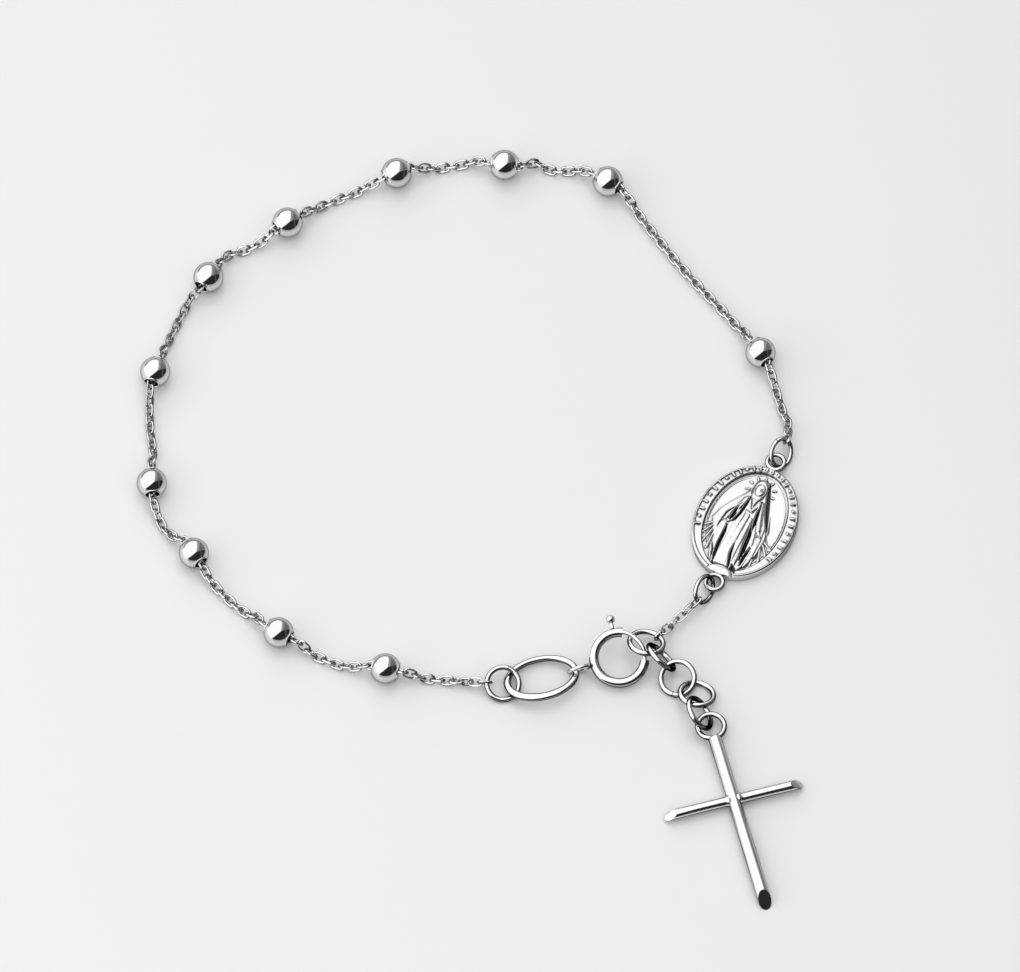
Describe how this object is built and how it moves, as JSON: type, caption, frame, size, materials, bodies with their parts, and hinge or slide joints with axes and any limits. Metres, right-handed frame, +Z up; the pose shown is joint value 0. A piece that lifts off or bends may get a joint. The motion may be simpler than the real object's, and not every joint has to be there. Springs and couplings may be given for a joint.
{
  "type": "rosary bracelet",
  "caption": "Fine silver rosary bracelet: cable chain with polished beads, an oval medal with a robed figure, a small cross, an oval ring and a spring ring clasp.",
  "frame": {"origin": "middle of the bracelet's footprint on the surface that it lies on", "axes": "+X to the medal's side, +Y away from the cross, +Z up from the surface"},
  "size_m": [0.0705, 0.0901, 0.0036],
  "materials": {
    "beads": "polished silver",
    "chain": "polished silver wire",
    "rings": "polished silver wire",
    "oval_ring": "polished silver",
    "clasp": "polished silver",
    "clasp_tongue": "polished silver",
    "medal": "cast silver, polished rim, satin field",
    "cross": "polished silver"
  },
  "bodies": {
    "bracelet": {"bead_01": "beads", "bead_02": "beads", "bead_03": "beads", "bead_04": "beads", "bead_05": "beads", "bead_06": "beads", "bead_07": "beads", "bead_08": "beads", "bead_09": "beads", "bead_10": "beads", "bead_11": "beads", "extension_ring_1": "rings", "extension_ring_2": "rings", "extension_ring_3": "rings", "extension_ring_4": "rings", "extension_ring_5": "rings", "chain_right": "chain", "chain_left": "chain", "chain_short": "chain", "jump_ring": "rings", "oval_ring": "oval_ring", "clasp_ring": "clasp", "medal": "medal", "medal_ring_top": "rings", "medal_ring_bottom": "rings", "cross": "cross"},
    "clasp_tongue": {"clasp_tongue": "clasp_tongue"}
  },
  "joints": [
    {"name": "clasp_lever", "type": "hinge", "parent": "bracelet", "child": "clasp_tongue", "pos_m": [0.01564, -0.01579, 0.00172], "axis": [0, -0.342, 0.9397], "range_deg": [0, 70], "stiffness_Nm_per_rad": 0.00001, "springref_deg": -17.19}
  ]
}
